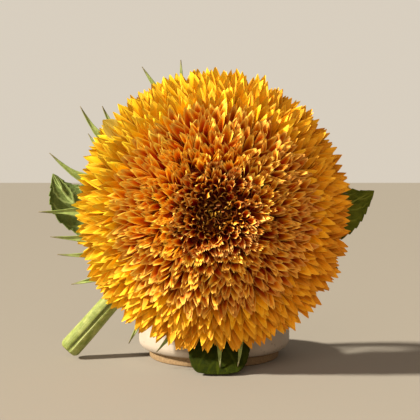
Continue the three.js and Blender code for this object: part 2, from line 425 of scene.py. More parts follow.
lean = over_ring([(0, -4), (0.08, -12), (0.15, -2), (0.22, 14), (0.3, 25), (0.4, 34), (0.533, 44),
                  (0.7, 59), (0.85, 74), (1.0, 87), (RIM, 92)], DEGREE)
lean = lean + luck(5) * math.radians(9)
bend = over_ring([(0, -20), (0.15, -10), (0.3, 16), (0.5, 30), (0.8, 28), (1.0, 12), (RIM, 2)], DEGREE)
bend = bend + luck(6) * math.radians(14)
length = over_ring([(0, 6), (0.12, 8), (0.2, 13), (0.3, 17), (0.45, 21), (0.6, 25), (0.8, 33), (1.0, 39),
                    (RIM, 38)], MM)
length = length * (luck(7) * 0.1 + 1)
half_width = over_ring([(0, 4.2), (0.12, 4.0), (0.2, 3.3), (0.35, 3.2), (0.5, 3.3), (0.7, 3.6),
                        (0.85, 4.1), (RIM, 4.9)], MM)
half_width = half_width * (luck(8) * 0.18 + 1)
roll = over_ring([(0, 150), (0.1, 138), (0.17, 122), (0.25, 112), (0.35, 110), (0.5, 108), (0.65, 92),
                  (0.8, 70), (1.0, 46), (RIM, 32)], DEGREE)
roll = roll * (luck(9) * over_ring([(0, 0.1), (0.2, 0.3), (0.6, 0.3), (RIM, 0.2)]) + 1)
pointed = over_ring([(0, 0.9), (0.1, 0.75), (0.2, 0.4), (0.3, 0.42), (0.4, 0.6), (0.5, 0.76), (0.65, 0.9),
                     (0.8, 0.955), (RIM, 0.985)])
jag = over_ring([(0, 0.0), (0.13, 0.03), (0.22, 0.075), (0.35, 0.06), (0.5, 0.035), (0.7, 0.012),
                 (RIM, 0.004)])
twist = luck(10) * over_ring([(0, 30), (0.2, 50), (0.5, 40), (0.8, 24), (RIM, 14)], DEGREE)
heading = angle + luck(11) * over_ring([(0, 30), (0.3, 32), (0.55, 20), (0.8, 12), (RIM, 9)], DEGREE)
sway = luck(14) * length * over_ring([(0, 0.08), (0.3, 0.2), (0.6, 0.17), (RIM, 0.07)])
lip = over_ring([(0, 0), (0.13, 0.2), (0.22, 0.7), (0.5, 0.75), (0.75, 0.45), (1.0, 0.1), (RIM, 0)], MM)
print("rules for", FLORETS, "florets within the rim")

# %% [markdown]
# The floret's spine is an arc that is laid back from its tip, so that the tips make an even dome
# whatever the lengths are. Across the spine the sheet is part of a circle: a wide roll gives a tube,
# a narrow one a flat petal. The edge rows of the tubes are drawn out into small teeth.

# %% Bending each grid into its floret
column = (grid_x + 0.5) * given["Across"]
zigzag = cos(column * math.pi)
reach = length * (1 - t * (zigzag * jag + 1))
middle_lean = lean - bend * (1 - t) * 0.5
sin_lean, cos_lean = sin(middle_lean), cos(middle_lean)
sin_here, cos_here = sin(lean - bend * (1 - t)), cos(lean - bend * (1 - t))

past_shoulder = at_least((t - 0.5) / 0.5, 0.0)
taper = 1 - pointed * past_shoulder**2.2
base = florets.rise(t, 0.0, 0.62, 0.42, 1.0)
width = half_width * base * taper
furrow = zigzag * sin(t * math.pi) * florets.rise(ring, 0.5, 0.95) * FURROW_DEPTH
curl = roll * florets.rise(t, 0.35, 1.0, 1.08, 0.78)
sideways = width * sin(curl * u) / curl
out = abs(u)
ripple = sin(t * 9 + luck(13) * 6 + u * 2) * out * t * RIPPLE_DEPTH
flare = lip * out**6 * florets.rise(t, 0.3, 0.9)
inwards = width * (1 - cos(curl * u)) / curl + furrow + ripple - flare
sin_twist, cos_twist = sin(twist), cos(twist)
sideways = sideways + florets.math("SIGN", u) * flare * 0.5
along_side = sideways * cos_twist - inwards * sin_twist + sway * t * t
along_normal = sideways * sin_twist + inwards * cos_twist

outward = 0 - reach * sin_lean - along_normal * cos_here
upward = 0 - reach * cos_lean + along_normal * sin_here
x = tip_radius * cos(angle) + outward * cos(heading) + along_side * sin(heading)
y = tip_radius * sin(angle) + outward * sin(heading) - along_side * cos(heading)

x = x - SET_LEFT + (1 - inside_rim) * EYE_RIGHT
y = y - (1 - inside_rim) * EYE_DROP

# The dish's rim pushes the lowest rays forward.
radius_here = florets.math("SQRT", x * x + y * y)
from_bottom = florets.math("ARCCOSINE", 0 - y / at_least(radius_here, MM))
near_bottom = florets.rise(from_bottom, 0.0, PUSH_HALF_ANGLE, 1.0, 0.0)
pushed = near_bottom * florets.rise(radius_here, CUP_RADIUS, BLOOM_RADIUS) * PUSH
floret_place = florets.vector(x, y, tip_height + upward + pushed)

# %% [markdown]
# Colours need a place on each floret, so every floret gets a cell on one map: its column says how far
# out the floret stands, and its row is dealt by chance, for small differences between neighbours.

# %% The florets' colour map
piece_share = (number - given["First"]) / given["Count"]
map_column = florets.math("FLOOR", piece_share * MAP_COLUMNS)
map_row = florets.math("FLOOR", luck(12, 0.0, MAP_ROWS - 0.001))
inner = 1 - 2 * MAP_MARGIN
map_u = (map_column + MAP_MARGIN + (grid_x + 0.5) * inner) / MAP_COLUMNS
map_v = (map_row + MAP_MARGIN + row * inner) / MAP_ROWS
map_place = florets.vector(map_u, map_v, 0.0)
finish_grids(florets, grids, floret_place, map_place, given["Finish"], result)
floret_tree = florets.tree
print("floret tree:", len(floret_tree.nodes), "nodes")

# %% [markdown]
# A petal's colour runs along it and across it. At its root it is rust brown, partly its own colour and
# partly painted shade for the shade deep between the florets; then it brightens to deep gold, and its
# thin edges and its tip are the palest, partly their own colour and partly painted highlight where light
# catches the rims. The rust runs furthest up the furrow in its middle, as painted shade in the hollow,
# and fine streaks follow the veins. All florets share this, with other values, so it is one shader
# group that is fed by the map above.

# %% The shader group for petals
petal, given, result = new_group("petal_colour", "ShaderNodeTree", [
    ("Root", "Color", None), ("Body", "Color", None), ("Edge", "Color", None),
    ("Root Length", "Float", 0.5), ("Furrow", "Float", 0.3), ("Edge Start", "Float", 0.6),
    ("Streaks", "Float", 0.2), ("Variety", "Float", 0.3)
], [("Color", "Color"), ("Height", "Float"), ("Roughness", "Float"), ("Zone", "Float")])
map_u, map_v = petal.own_map()
cell_u, cell_v = map_u * MAP_COLUMNS, map_v * MAP_ROWS
column, row = petal.math("FLOOR", cell_u), petal.math("FLOOR", cell_v)
across = abs((cell_u - column) * 2 - 1)
along = (cell_v - row - MAP_MARGIN) / (1 - 2 * MAP_MARGIN)
zone = (column + 0.5) / MAP_COLUMNS

streak_place = petal.vector(cell_u * 11, cell_v * 1.3, column * 3 + row * 7)
streaks = petal.noise(streak_place, 1.0, 3.0)
blotch = petal.noise(petal.vector(cell_u * 1.7, cell_v * 1.4, column * 5 + row * 3), 1.0, 1.0)
luck_here = petal.node("ShaderNodeTexWhiteNoise", petal.vector(column, row, 0.5))

# Painted shade: the rust runs further up the middle of the furrow, where the hollow lies in shade.
shaded_furrow = (1 - across) * given["Furrow"]
to_body = petal.rise(along - shaded_furrow + (blotch - 0.5) * 0.5, 0.0, given["Root Length"])
colour = petal.blend(to_body, given["Root"], given["Body"])
# Partly painted highlight: the thin edges and the tip are paler, as where light catches the rims.
edge = petal.rise(across, given["Edge Start"], 1.0) * petal.rise(along, 0.15, 0.6)
tip = petal.rise(along, 0.72, 1.0)
colour = petal.blend(at_least(edge, tip * 0.5), colour, given["Edge"])
value = 1 + (streaks - 0.5) * given["Streaks"] * 2 + (luck_here - 0.5) * given["Variety"]
hue = 0.5 + (luck_here - 0.5) * given["Variety"] * 0.06
shaded = petal.node("ShaderNodeHueSaturation", named={"Color": colour, "Value": value, "Hue": hue})
petal.put(result["Color"], shaded)
petal.put(result["Height"], streaks)
petal.put(result["Roughness"], 0.5 + streaks * 0.2)
petal.put(result["Zone"], zone)
petal_group = petal.tree
print("petal group:", len(petal_group.nodes), "nodes")

# %% [markdown]
# Four kinds of floret take their finish from that group: nearly black buds in the eye, rusty tubes and
# channels round it, and golden rays outside. Along its piece, each finish goes over from the colours of
# its own kind to those of the next, so no seam shows. Three helpers shorten the making of a finish.


# %% Materials for the bloom
def new_material(name, roughness=0.5):
    """A material: its tree helper and its shader."""
    material = bpy.data.materials.new(name)
    material.use_nodes = True
    shader = material.node_tree.nodes["Principled BSDF"]
    shader.inputs["Roughness"].default_value = roughness
    return material, Tree(material.node_tree), shader


def use_group(tree, group, **values):
    """Places a shader group and returns its outputs by name."""
    made = tree.tree.nodes.new("ShaderNodeGroup")
    made.node_tree = group
    for label, value in values.items():
        value = (*value, 1) if isinstance(value, tuple) else value
        tree.put(made.inputs[label.replace("_", " ")], value)
    return {s.name: Field(tree, s) for s in made.outputs}


def dress(tree, shader, height, depth, **values):
    """Gives the shader its inputs, and a bump from a height that is so many millimetres deep."""
    named = {"Height": height, "Distance": depth * MM, "Strength": 1.0}
    values["Normal"] = tree.node("ShaderNodeBump", named=named)
    for label, value in values.items():
        tree.put(shader.inputs[label.replace("_", " ")], value)


# Painted light: petals on the side towards the sun are painted a purer yellow, as if lit through, and
# those on the shaded side a deeper orange, as painted shade.
LIT_SIDE_PAINTED_TINT = (1.02, 1.20, 1.0)
SHADED_SIDE_PAINTED_TINT = (1.05, 0.76, 0.9)


def petal_material(name, colours, changed_at, **values):
    """A petal finish whose colours change from the inner florets of its piece to the outer ones."""
    material, tree, shader = new_material(name)
    inner, outer = colours
    made = use_group(tree, petal_group, **values)
    zone = made["Zone"]
    group = made["Color"].socket.node
    for label, a, b in zip(("Root", "Body", "Edge"), inner, outer):
        tree.put(group.inputs[label], tree.ramp(zone, [(0.15, a), (changed_at, b)]))
    x, _, z = tree.parts(tree.place())
    toward_sun = ((z - CENTRE.z) * 0.35 - (x - CENTRE.x) * 0.7) / BLOOM_RADIUS
    # Painted light and shade: the tint turns yellow towards the sun, at the upper left, and orange away
    # from it.
    tint = tree.blend(toward_sun * 0.62 + 0.5, SHADED_SIDE_PAINTED_TINT, LIT_SIDE_PAINTED_TINT)
    colour = tree.blend(1.0, made["Color"], tint, "MULTIPLY")
    dress(tree, shader, made["Height"], 0.15, Base_Color=colour, Roughness=made["Roughness"],
          Specular_IOR_Level=0.12)
    return material


# The colours of the root, the body and the edge, for each kind. The dark roots are partly painted
# shade, deep between the florets, and the pale edges partly painted highlight on the rims.
EYE = ((0.014, 0.004, 0.001), (0.015, 0.007, 0.002), (0.022, 0.011, 0.003))
LAST_BUD = ((0.32, 0.035, 0.002), (0.66, 0.24, 0.016), (0.93, 0.60, 0.15))
TUBE = ((0.42, 0.022, 0.001), (0.82, 0.31, 0.018), (0.98, 0.74, 0.22))
CHANNEL = ((0.43, 0.020, 0.001), (0.80, 0.30, 0.006), (0.98, 0.76, 0.20))
RAY = ((0.56, 0.080, 0.001), (0.83, 0.40, 0.004), (0.94, 0.62, 0.05))

# %% The four kinds of floret
PETAL_VALUES = ("Root_Length", "Furrow", "Edge_Start", "Streaks", "Variety")
# For each kind: where it starts and ends, as a share of the radius, its grid, its inner and outer
# colours, where these have changed, and the values in the order above.
KINDS = {
    "eye_buds": (0.0, 0.15, 6, 5, (EYE, LAST_BUD), 0.7, (0.6, 0.3, 0.7, 0.5, 0.9)),
    "tube_florets": (0.15, 0.34, 8, 5, (TUBE, CHANNEL), 0.95, (0.7, 0.5, 0.7, 0.35, 0.5)),
    "channelled_florets": (0.34, 0.76, 6, 7, (CHANNEL, RAY), 0.95, (0.8, 0.5, 0.69, 0.35, 0.45)),
    "ray_petals": (0.76, RIM, 6, 8, (RAY, RAY), 0.95, (0.8, 0.1, 0.7, 0.35, 0.4)),
}
for name, (inner, outer, across, along, colours, changed_at, values) in KINDS.items():
    finish = petal_material(name, colours, changed_at, **dict(zip(PETAL_VALUES, values)))
    first, last = (round(FLORETS * ring ** (1 / CROWDING)) for ring in (inner, outer))
    piece = run_shape(name, floret_tree, finish, First=first, Count=last - first, Across=across,
                      Along=along, Seed=11)
    corners = np.array(piece.bound_box) / MM
    print(last - first, "florets from", corners.min(axis=0).round(1), "to", corners.max(axis=0).round(1))

# %% [markdown]
# The other pieces are sheets and turned shapes: each is a grid of points that one rule lays out. One
# helper turns such grids into a mesh and gives it a map that runs across and along the grid, so that
# veins and streaks can follow the shape. A second one draws the smooth line that a leaf, a bract or
# the stem follows, through a few points.


# %% Helpers for sheets and lines
WHOLE_MAP = (0.01, 0.01, 0.98, 0.98)
CURVE_STEPS = 25


def grid_mesh(name, grids, material, wrap=False):
    """One mesh from grids of points, each a pair: rows x columns of points, and its cell of the map."""
    vertices, faces, corners = [], [], []
    for points, (left, low, wide, high) in grids:
        rows, columns = points.shape[:2]
        first = len(vertices)
        vertices.extend(points.reshape(-1, 3).tolist())
        spans = columns if wrap else columns - 1
        for r in range(rows - 1):
            for c in range(spans):
                d = (c + 1) % columns
                here, above = first + r * columns, first + (r + 1) * columns
                faces.append([here + c, here + d, above + d, above + c])
                for dc, dr in ((0, 0), (1, 0), (1, 1), (0, 1)):
                    corners.append((left + wide * (c + dc) / spans, low + high * (r + dr) / (rows - 1)))
    mesh = bpy.data.meshes.new(name)
    mesh.from_pydata(vertices, [], faces)
    mesh.uv_layers.new(name=MAP_NAME).data.foreach_set("uv", np.array(corners).ravel())
    shape = bmesh.new()
    shape.from_mesh(mesh)
    bmesh.ops.remove_doubles(shape, verts=shape.verts, dist=0.002 * MM)
    shape.to_mesh(mesh)
    shape.free()
    mesh.polygons.foreach_set("use_smooth", [True] * len(mesh.polygons))
    mesh.materials.append(material)
    print(f"{name}: {len(mesh.polygons)} faces")
    return place_in_scene(name, mesh)


def thicken(piece, thickness):
    modifier = piece.modifiers.new("thickness", "SOLIDIFY")
    modifier.thickness = thickness
    modifier.offset = 0


def spread(centre, sideways, normal, slide, rise):
    """Points beside a middle line: so far sideways, and so far along its normal."""
    return (centre[:, None, :] + sideways[:, None, :] * slide[..., None]
            + normal[:, None, :] * rise[..., None])


class Line:
    """A smooth line through points in millimetres. at(s) gives places for shares of its length."""

    def __init__(self, points):
        p = np.array(points, float) * MM
        p = np.vstack([2 * p[0] - p[1], p, 2 * p[-1] - p[-2]])
        places = [p[1]]
        for a, b, c, d in zip(p, p[1:], p[2:], p[3:]):
            gaps = [math.sqrt(np.linalg.norm(q)) for q in (b - a, c - b, d - c)]
            k = np.concatenate([[0], np.cumsum(gaps)])
            for t in np.linspace(k[1], k[2], CURVE_STEPS)[1:]:
                ab = ((k[1] - t) * a + (t - k[0]) * b) / (k[1] - k[0])
                bc = ((k[2] - t) * b + (t - k[1]) * c) / (k[2] - k[1])
                cd = ((k[3] - t) * c + (t - k[2]) * d) / (k[3] - k[2])
                abc = ((k[2] - t) * ab + (t - k[0]) * bc) / (k[2] - k[0])
                bcd = ((k[3] - t) * bc + (t - k[1]) * cd) / (k[3] - k[1])
                places.append(((k[2] - t) * abc + (t - k[1]) * bcd) / (k[2] - k[1]))
        self.places = np.array(places)
        steps = np.linalg.norm(np.diff(self.places, axis=0), axis=1)
        self.shares = np.concatenate([[0], np.cumsum(steps)]) / steps.sum()

    def at(self, s):
        s = np.clip(s, 0, 1)
        return np.stack([np.interp(s, self.shares, self.places[:, i]) for i in range(3)], axis=-1)

    def direction(self, s, step=0.01):
        ahead = self.at(np.minimum(s + step, 1)) - self.at(np.maximum(s - step, 0))
        return ahead / np.linalg.norm(ahead, axis=-1, keepdims=True)


def unit(v):
    return v / np.linalg.norm(v, axis=-1, keepdims=True)


def smoothstep(value, low, high):
    share = np.clip((value - low) / (high - low), 0, 1)
    return share * share * (3 - 2 * share)


def turned(profile, sides, wobble):
    """Turns (radius, height) pairs in millimetres round the Z axis: rows x sides wobbled points."""
    angles = np.arange(sides) * 2 * math.pi / sides
    radius, height = (np.array(profile) * MM).T
    radius, height = radius[:, None] * np.ones(sides), height[:, None] * np.ones(sides)
    radius, height = wobble(radius, height, angles[None, :])
    return np.stack([radius * np.cos(angles), radius * np.sin(angles), height], axis=-1)


def rounded(profile, steps=4):
    """A profile with points added between its own, on a smooth curve."""
    line = Line([(radius, 0, height) for radius, height in profile])
    places = line.at(np.linspace(0, 1, steps * len(profile))) / MM
    return places[:, [0, 2]]


def stood_up(points):
    """Points round the bloom's axis, moved to the bloom's place."""
    turn = np.array(TO_WORLD)
    return points @ turn[:3, :3].T + turn[:3, 3]


# %% [markdown]
# Between the florets one looks down into the dark, where their roots stand close together. A plain
# dark rust-brown bed, painted shade, fills that depth, about ten millimetres under the tips, so that no
# gap shows through.

# %% The bed under the florets
bed_finish, tree, shader = new_material("floret_bed", 0.9)
grit = tree.noise(tree.place(), 900.0, 3.0)
# Painted shade: the bed's dark brown stands for the shade deep between the florets.
painted_shade_brown = tree.ramp(grit, [(0.3, (0.17, 0.026, 0.002)), (0.7, (0.34, 0.06, 0.005))])
dress(tree, shader, grit, 0.6, Base_Color=painted_shade_brown)
BED = [(0, 25.5), (9, 26), (17, 26.5), (25, 22.5), (34, 15.5), (44, 9), (54, 3.5), (60, 0.6), (50, -1.2),
       (36, -2.6), (0, -2.6)]


def sunk(radius, height, angle):
    lumps = np.sin(5 * angle) * np.sin(height / MM * 0.4)
    return radius * (1 + 0.01 * lumps), height


bed_points = stood_up(turned(rounded(BED)[::-1], 72, sunk))
grid_mesh("floret_bed", [(bed_points, WHOLE_MAP)], bed_finish, wrap=True)

# %% [markdown]
# Green parts share a finish: a mottled green that is paler along the veins, with a fine felt of hairs
# that blurs its gloss. The group takes a vein mask, so each leaf and bract can draw its own veins.

# %% The shader group for green skin
skin, given, result = new_group("green_skin", "ShaderNodeTree", [
    ("Dark", "Color", None), ("Light", "Color", None), ("Vein", "Color", None),
    ("Vein Mask", "Float", 0.0), ("Mottle Scale", "Float", 300.0), ("Place", "Vector", None)
], [("Color", "Color"), ("Height", "Float"), ("Roughness", "Float")])
mottle = skin.noise(given["Place"], given["Mottle Scale"], 4.0)
felt = skin.noise(given["Place"], given["Mottle Scale"] * 9, 2.0)
colour = skin.blend(skin.rise(mottle, 0.3, 0.7), given["Dark"], given["Light"])
colour = skin.blend(given["Vein Mask"], colour, given["Vein"])
shaded = skin.node("ShaderNodeHueSaturation", named={"Color": colour, "Value": 0.85 + felt * 0.3})
skin.put(result["Color"], shaded)
skin.put(result["Height"], mottle * 0.5 + felt * 0.5 + given["Vein Mask"])
skin.put(result["Roughness"], 0.45 + felt * 0.3)
skin_group = skin.tree
print("skin group:", len(skin_group.nodes), "nodes")


def green_material(name, dark, light, vein, veins=None, over=None, gloss=0.35, sheen=0.0, relief=0.25,
                   scale=300.0):
    """A green finish. veins(tree) gives the vein mask, over(tree, colour) lays other colours on it."""
    material, tree, shader = new_material(name)
    made = use_group(tree, skin_group, Dark=dark, Light=light, Vein=vein, Mottle_Scale=scale,
                     Vein_Mask=veins(tree) if veins else 0.0, Place=tree.place())
    colour = over(tree, made["Color"]) if over else made["Color"]
    dress(tree, shader, made["Height"], relief, Base_Color=colour, Roughness=made["Roughness"],
          Specular_IOR_Level=gloss, Sheen_Weight=sheen)
    return material


# %% [markdown]
# A sunflower leaf is a heart-shaped sheet with a saw-toothed edge. Its midrib and side veins stand
# out below and lie in furrows above, and the sheet bulges between them. The leaf is a grid along the
# line of its midrib: the grid's width is the outline, and the veins move its points up and down, so
# the relief is real. The same rule for the veins colours them.

# %% Leaf shape
SIDE_VEINS = 7
VEIN_SWEEP = 0.3
TEETH = 21
BLADE_STARTS = 0.19
STALK_HALF_WIDTH = 1.5 * MM
MIDRIB_HALF_WIDTH = 0.9 * MM
LEAF_THICKNESS = 0.5 * MM
OFF_THE_TABLE = 0.35 * MM


def pointed_outline(share):
    """Widest in the middle and drawn in to a point, as a share of the full half width."""
    return share**0.8 * (1 - share) ** 0.9 / 0.309


def blunt_outline(share):
    """Broad nearly to its end, for a leaf whose tip is folded away."""
    return np.interp(share, [0, 0.12, 0.3, 0.6, 0.78, 0.86, 0.91, 0.95, 0.98, 1],
                     [0, 0.6, 0.9, 1.0, 0.97, 0.91, 0.83, 0.74, 0.62, 0.3])


def leaf_half_width(s, stalk, outline, tooth_depth, half_width):
    share = np.clip((s - stalk) / (1 - stalk), 0, 1)
    body = outline(share)
    tooth = tooth_depth * ((share * TEETH) % 1) ** 1.3
    body_width = np.maximum(half_width * body - tooth * smoothstep(body, 0.1, 0.4), 0.2 * MM)
    stalk_width = STALK_HALF_WIDTH * (1 - smoothstep(share, 0.0, 0.9))
    return np.maximum(body_width * smoothstep(share, 0, 0.02), stalk_width)


def leaf(name, route, stalk, across, cup, material, side=1, wave=1.0, outline=pointed_outline, fold=None,
         tooth_depth=1.2 * MM, swell=1.0, hollow=0, half_width=17 * MM):
    """A leaf along a route. A fold is the side, the place across and the angle of a turned edge."""
    line = Line(route)
    s = np.linspace(0, 1, 126)[:, None]
    u = np.linspace(-1, 1, 41)[None, :]
    centre, ahead = line.at(s[:, 0]), line.direction(s[:, 0])
    level = np.cross(ahead, [0, -1, 0]) if across is None else np.array(across, float) + 0 * ahead
    sideways = unit(level - ahead * (level * ahead).sum(axis=1, keepdims=True))
    normal = unit(np.cross(sideways, ahead))
    share = np.clip((s - stalk) / (1 - stalk), 0, 1)
    half = leaf_half_width(s, stalk, outline, tooth_depth, half_width)
    half = half * (1 - 0.5 * smoothstep(share, 0.74, 0.95) * (u * hollow > 0))
    blade_share = smoothstep(s, stalk, stalk + 0.12) * (1 - smoothstep(s, 0.88, 1.0))
    vein_phase = (share - VEIN_SWEEP * np.abs(u) ** 1.2) * SIDE_VEINS
    off_vein = np.abs(vein_phase - np.round(vein_phase))
    side_vein = np.exp(-((off_vein / 0.09) ** 2)) * (1 - smoothstep(np.abs(u), 0.7, 1.0))
    midrib = np.exp(-((u * half / MIDRIB_HALF_WIDTH) ** 2))
    bulge = np.cos(off_vein * math.pi) * (1 - u**2)
    ripple = np.sin(share * 19 + np.sign(u) * 1.3) * np.abs(u) ** 2.5
    relief = swell * side * ((-0.35 * side_vein - 0.5 * bulge) * blade_share - 0.7 * midrib) + 0 * s
    rise = relief * MM + cup * half * u**2 + wave * ripple * MM * blade_share
    slide = half * u
    if fold:
        edge, start, turn = fold
        past = np.maximum(u * edge - start, 0)
        bent = turn * past / (1 - start) * smoothstep(s, stalk + 0.1, 0.75) + 1e-6
        slide = half * (u - edge * past) + half * edge * past * np.sin(bent) / bent
        rise = rise + half * past * (1 - np.cos(bent)) / bent
    points = spread(centre, sideways, normal, slide, rise)
    points[..., 2] = np.maximum(points[..., 2], OFF_THE_TABLE)
    thicken(grid_mesh(name, [(points, WHOLE_MAP)], material), LEAF_THICKNESS)


def leaf_veins(tree, strength=1.0):
    """The vein mask on a leaf's map."""
    map_u, map_v = tree.own_map()
    across = abs((map_u - 0.5) * 2 / WHOLE_MAP[2])
    share = ((map_v - WHOLE_MAP[1]) / WHOLE_MAP[3] - BLADE_STARTS) / (1 - BLADE_STARTS)
    phase = (share - across**1.2 * VEIN_SWEEP) * SIDE_VEINS
    off_vein = abs(phase - tree.math("ROUND", phase))
    side_vein = tree.rise(off_vein, 0.05, 0.13, 1.0, 0.0) * tree.rise(across, 0.6, 1.0, 1.0, 0.0)
    midrib = tree.rise(across, 0.03, 0.085, 1.0, 0.0)
    net_place = tree.vector(map_u * 26, phase * 5, 0.0)
    fine = tree.node("ShaderNodeTexVoronoi", net_place, feature="DISTANCE_TO_EDGE")
    net = tree.rise(fine, 0.0, 0.11, 0.5, 0.0)
    mask = at_least(at_least(side_vein * 0.6, midrib), net)
    return mask * tree.rise(share, -0.05, 0.05, 0.6, 1.0) * strength


# %% The three leaves
left_finish = green_material("leaf_left_underside", (0.11, 0.16, 0.025), (0.19, 0.25, 0.05),
                             (0.38, 0.47, 0.16), leaf_veins, gloss=0.2)
LEFT_ROUTE = [(-14, -9, 85), (-44, -19, 84), (-76.5, -22, 88.5), (-88.5, -22, 105)]
leaf("leaf_left_blade", LEFT_ROUTE, 0.18, None, 0.12, left_finish, side=-1, fold=(-1, 0.66, 1.35),
     hollow=1, half_width=18 * MM)

right_finish = green_material("leaf_right_top", (0.075, 0.100, 0.004), (0.15, 0.17, 0.010),
                              (0.19, 0.21, 0.025), leaf_veins, gloss=0.12)
RIGHT_ROUTE = [(4.5, -6, 87), (32, -15, 85), (66, -21, 85.5), (88.3, -22, 95.5)]
leaf("leaf_right_blade", RIGHT_ROUTE, 0.18, None, -0.1, right_finish, hollow=-1, half_width=20.5 * MM)

# Painted shade: the bottom leaf's top is painted far darker than the right leaf's top, for the shade
# under the bloom.
bottom_finish = green_material("leaf_bottom_top", (0.015, 0.023, 0.001), (0.030, 0.038, 0.001),
                               (0.055, 0.072, 0.004), lambda tree: leaf_veins(tree, 0.5), gloss=0.06)
BOTTOM_ROUTE = [(-3, -9, 69), (0, -22, 54), (2.5, -33, 38), (3, -41.5, 25.5), (2.6, -48, 14), (2, -52, 5),
                (2, -57, 1.2)]
leaf("leaf_bottom_blade", BOTTOM_ROUTE, 0.2, (-1, 0, 0), 0.0, bottom_finish, wave=0.3,
     outline=blunt_outline, tooth_depth=0.35 * MM, swell=0.45)

# %% [markdown]
# Green bracts stand round the back of the bloom, and some of them show past its edge. Each has a
# broad foot, curls in along its edges and draws out into a long thin tip that has dried brown. The
# frame says where each one lies: the points of its solid, sorted outwards, give the line to follow.


# %% Bracts on the lines of their solids
def bract_line(node, steps=9):
    """The middle line of a bract's solid, in the bloom's frame, as radius, angle and height."""
    local = TO_WORLD.inverted()
    dots = np.array([local @ v.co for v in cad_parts[node].data.vertices])
    radius = np.hypot(dots[:, 0], dots[:, 1])
    angle = np.arctan2(dots[:, 1], dots[:, 0])
    middle = math.atan2(np.sin(angle).mean(), np.cos(angle).mean())
    angle = (angle - middle + math.pi) % (2 * math.pi) - math.pi + middle
    groups = np.array_split(np.argsort(radius), steps)
    line = [[radius[g].mean(), angle[g].mean(), dots[g, 2].mean()] for g in groups]
    return np.array(line), radius.max()


BRACT_THICKNESS = 0.35 * MM
BRACT_FOOT = 3 * MM
BRACT_RIB = 0.25 * MM
BRACT_RIPPLE = 0.35 * MM
BRACT_OUTLINE = ([0, 0.3, 0.48, 0.6, 0.7, 0.8, 0.9, 1.0], [4.5, 5.3, 4.7, 3.6, 2.2, 1.2, 0.7, 0.12])
BRACT_NODES = sorted(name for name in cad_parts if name.startswith("bract_"))
draw = np.random.default_rng(5)
bract_grids = []
for number, node in enumerate(BRACT_NODES):
    line, reach = bract_line(node)
    t = np.linspace(0, 1, 25)[:, None]
    u = np.linspace(-1, 1, 9)[None, :]
    radius = line[0, 0] - BRACT_FOOT + (reach - line[0, 0] + BRACT_FOOT) * t[:, 0]
    angle = np.interp(radius, line[:, 0], line[:, 1])
    height = np.interp(radius, line[:, 0], line[:, 2])
    centre = np.stack([radius * np.cos(angle), radius * np.sin(angle), height], axis=-1)
    ahead = unit(np.gradient(centre, axis=0))
    sideways = unit(np.cross(ahead, [0, 0, 1]))
    normal = np.cross(sideways, ahead)
    half = np.interp(t, *BRACT_OUTLINE) * MM * draw.uniform(0.85, 1.0)
    bow = sideways * (draw.uniform(-2.6, -0.6) * MM * np.sin(math.pi * t**1.3))
    curl = half * u**2 * (0.35 + 0.4 * t) * draw.uniform(0.2, 1.0)
    rib = -BRACT_RIB * np.exp(-((u * 3) ** 2)) * (1 - t)
    ripple = BRACT_RIPPLE * np.sin(t * 14 + number) * u
    points = spread(centre + bow, sideways, normal, half * u, curl + rib + ripple)
    bract_grids.append((stood_up(points), (0.01 + 0.25 * (number % 4), 0.01, 0.23, 0.98)))


def bract_veins(tree):
    map_u, map_v = tree.own_map()
    across = tree.math("FRACT", map_u * 4) * 2 - 1
    lines = abs(sin(across * 9.4))
    return tree.rise(lines, 0.0, 0.5, 0.8, 0.0) * tree.rise(map_v, 0.1, 0.9, 1.0, 0.3)


def dried_tip(tree, colour):
    return tree.blend(tree.rise(tree.own_map()[1], 0.84, 1.0), colour, (0.16, 0.12, 0.06))


bract_finish = green_material("bracts", (0.22, 0.29, 0.055), (0.34, 0.42, 0.10), (0.50, 0.58, 0.24),
                              bract_veins, dried_tip, gloss=0.5, relief=0.2, scale=250.0)
thicken(grid_mesh("bracts", bract_grids, bract_finish), BRACT_THICKNESS)
print(len(BRACT_NODES), "bracts")

# %% [markdown]
# One petal of the back row has lost its gold. It stands out lemon yellow at the upper left, half
# hidden, a little broader and flatter than its neighbours. Its end lies over the outermost row.

# %% The pale petal at the back
PALE_ANGLE = math.radians(141)
PALE_HALF_WIDTH = 5.8 * MM
PALE_INNER = 37
PALE_LENGTH = 40
t = np.linspace(0, 1, 25)[:, None]
u = np.linspace(-1, 1, 13)[None, :]
outward = np.array([math.cos(PALE_ANGLE), math.sin(PALE_ANGLE), 0.0])
sideways = np.array([-math.sin(PALE_ANGLE), math.cos(PALE_ANGLE), 0.0])
half = PALE_HALF_WIDTH * np.interp(t, [0, 0.3, 0.75, 0.9, 1], [0.5, 0.8, 1.0, 0.75, 0.05])
reach = (PALE_INNER + PALE_LENGTH * t) * MM
rise = (-4.1 + 7.6 * t + 0.9 * u**2 * t + 0.25 * np.cos(u * 9.4) * t) * MM
upward = np.array([0, 0, 1.0])
pale_points = outward * reach[..., None] + sideways * (half * u)[..., None] + upward * rise[..., None]
pale_finish, tree, shader = new_material("pale_petal", 0.55)
map_u, map_v = tree.own_map()
streak = tree.noise(tree.vector(map_u * 14, map_v * 1.5, 0.0), 1.0, 3.0)
yellow = tree.ramp(map_v + (streak - 0.5) * 0.4, [(0.2, (0.55, 0.38, 0.03)), (0.8, (0.86, 0.66, 0.08))])
dress(tree, shader, streak, 0.2, Base_Color=yellow)
grid_mesh("pale_back_petal", [(stood_up(pale_points), WHOLE_MAP)], pale_finish)

# %% [markdown]
# The cut stem is an eight-sided, softly ribbed rod with a deep furrow down its front. It is rough
# with short stiff hairs, swells under the bloom, and ends in a slanting cut that shows the pale pith.
# A grid round its line gives the ribs, and the end is closed with rings that dish in a little.

